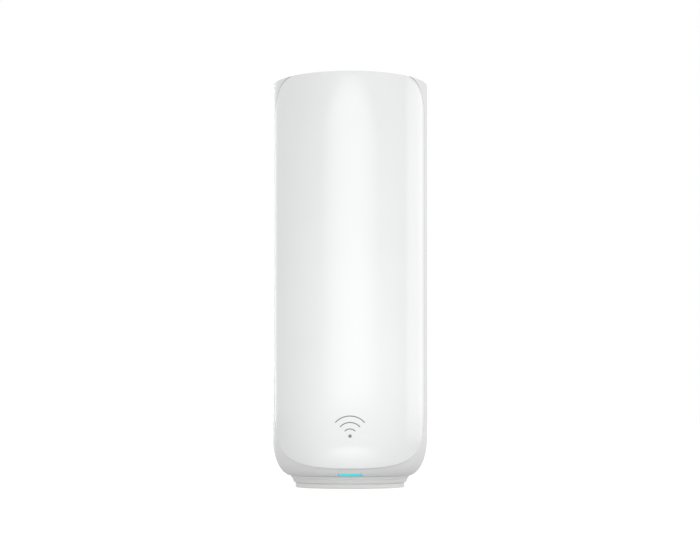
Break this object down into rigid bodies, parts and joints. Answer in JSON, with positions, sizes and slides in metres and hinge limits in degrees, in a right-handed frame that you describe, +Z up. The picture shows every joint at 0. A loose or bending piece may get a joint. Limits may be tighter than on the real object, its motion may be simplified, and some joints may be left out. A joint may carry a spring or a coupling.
{
  "type": "mesh wifi node",
  "caption": "Slim round white tower with a wrapped front panel, a light bar at its tucked-in foot and a recessed rear bay for network and power plugs.",
  "frame": {"origin": "centre of the foot ring's underside, on the surface that it stands on", "axes": "+Z up along the tower, -Y towards the front panel and +Y towards the rear ports"},
  "size_m": [0.0968, 0.0968, 0.25],
  "materials": {
    "panel_white": "satin gloss",
    "shell_white": "satin",
    "foot_rubber": "matte",
    "tray_grey": "fine grain",
    "steel": "satin",
    "aluminium": "extruded",
    "circuit_board": "solder mask",
    "thermal_pad": "matte",
    "label": "blank",
    "light_cyan": "lit lens",
    "clear_acrylic": "polished",
    "cable_grey": "matte",
    "antenna_brass": "stamped",
    "led_package": "matte",
    "black_plastic": "moulded"
  },
  "bodies": {
    "tower": {"antenna_1": "antenna_brass", "antenna_2": "antenna_brass", "antenna_3": "antenna_brass", "antenna_4": "antenna_brass", "antenna_5": "antenna_brass", "antenna_6": "antenna_brass", "antenna_cable_1": "cable_grey", "antenna_cable_2": "cable_grey", "antenna_cable_3": "cable_grey", "antenna_cable_4": "cable_grey", "antenna_cable_5": "cable_grey", "antenna_cable_6": "cable_grey", "antenna_carrier": "black_plastic", "ballast_ring": "steel", "base_plate": "shell_white", "board_connector": "black_plastic", "chassis_base": "black_plastic", "chassis_rail_left": "black_plastic", "chassis_rail_right": "black_plastic", "dc_inlet": "black_plastic", "fan_frame": "black_plastic", "foot_ring": "foot_rubber", "front_panel": "panel_white", "heatsink_front": "aluminium", "heatsink_rear": "aluminium", "io_board": "circuit_board", "led_board": "circuit_board", "light_bar": "light_cyan", "light_guide": "clear_acrylic", "main_board": "circuit_board", "network_insert_1": "black_plastic", "network_insert_2": "black_plastic", "network_shield_1": "steel", "network_shield_2": "steel", "port_tray": "tray_grey", "processor": "black_plastic", "rating_label": "label", "rear_housing": "shell_white", "reset_switch": "steel", "screw_base_1": "steel", "screw_base_2": "steel", "screw_base_3": "steel", "screw_base_4": "steel", "screw_board_1": "steel", "screw_board_2": "steel", "screw_board_3": "steel", "screw_board_4": "steel", "shield_can_1": "steel", "shield_can_2": "steel", "status_led_1": "led_package", "status_led_2": "led_package", "status_led_3": "led_package", "sync_switch": "steel", "thermal_pad_1": "thermal_pad", "thermal_pad_2": "thermal_pad", "thermal_pad_3": "thermal_pad", "top_cap": "shell_white"},
    "sync_button": {"sync_button": "shell_white"},
    "reset_button": {"reset_button": "black_plastic"},
    "fan_rotor": {"fan_rotor": "black_plastic"}
  },
  "joints": [
    {"name": "sync_button_press", "type": "slide", "parent": "tower", "child": "sync_button", "axis": [0, -1, 0], "range_m": [0, 0.0008], "stiffness_N_per_m": 1200, "springref_m": -0.0003},
    {"name": "reset_button_press", "type": "slide", "parent": "tower", "child": "reset_button", "axis": [0, -1, 0], "range_m": [0, 0.0006], "stiffness_N_per_m": 900, "springref_m": -0.0003},
    {"name": "fan_spin", "type": "hinge", "parent": "tower", "child": "fan_rotor", "pos_m": [0, 0, 0.0178], "axis": [0, 0, 1], "continuous": true}
  ]
}
